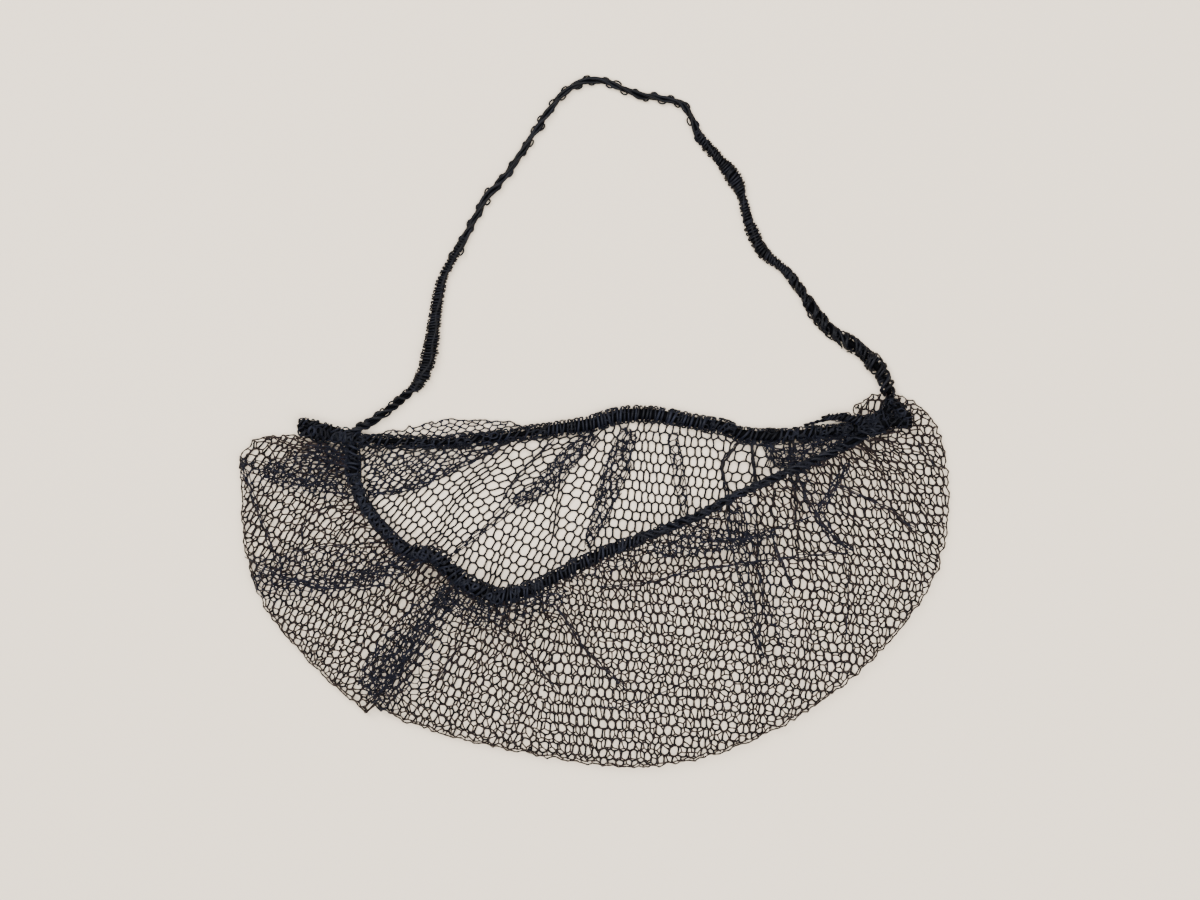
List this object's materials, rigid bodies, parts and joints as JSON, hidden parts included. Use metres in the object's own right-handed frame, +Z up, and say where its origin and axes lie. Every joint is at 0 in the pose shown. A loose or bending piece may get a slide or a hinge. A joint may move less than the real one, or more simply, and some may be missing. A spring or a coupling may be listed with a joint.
{
  "type": "beard net",
  "caption": "Honeycomb net pouch gathered on two elastic rim bands with an open mouth, and a head strap between its two corner tabs, worn over the chin to hold beard hair.",
  "frame": {"origin": "on the table under the middle of the net pouch", "axes": "+X along the pouch from its left corner to its right one, +Y from the pouch towards the head strap, +Z up from the table"},
  "size_m": [0.2207, 0.2153, 0.0176],
  "materials": {
    "net_nylon": "black crocheted nylon net",
    "band_elastic": "blue-black overlocked elastic",
    "strap_elastic": "black thread-wrapped elastic"
  },
  "bodies": {
    "root": {"net_pouch": "net_nylon", "front_rim_band": "band_elastic", "back_rim_band": "band_elastic", "left_corner_tab": "band_elastic", "right_corner_tab": "band_elastic", "head_strap": "strap_elastic"}
  },
  "joints": []
}
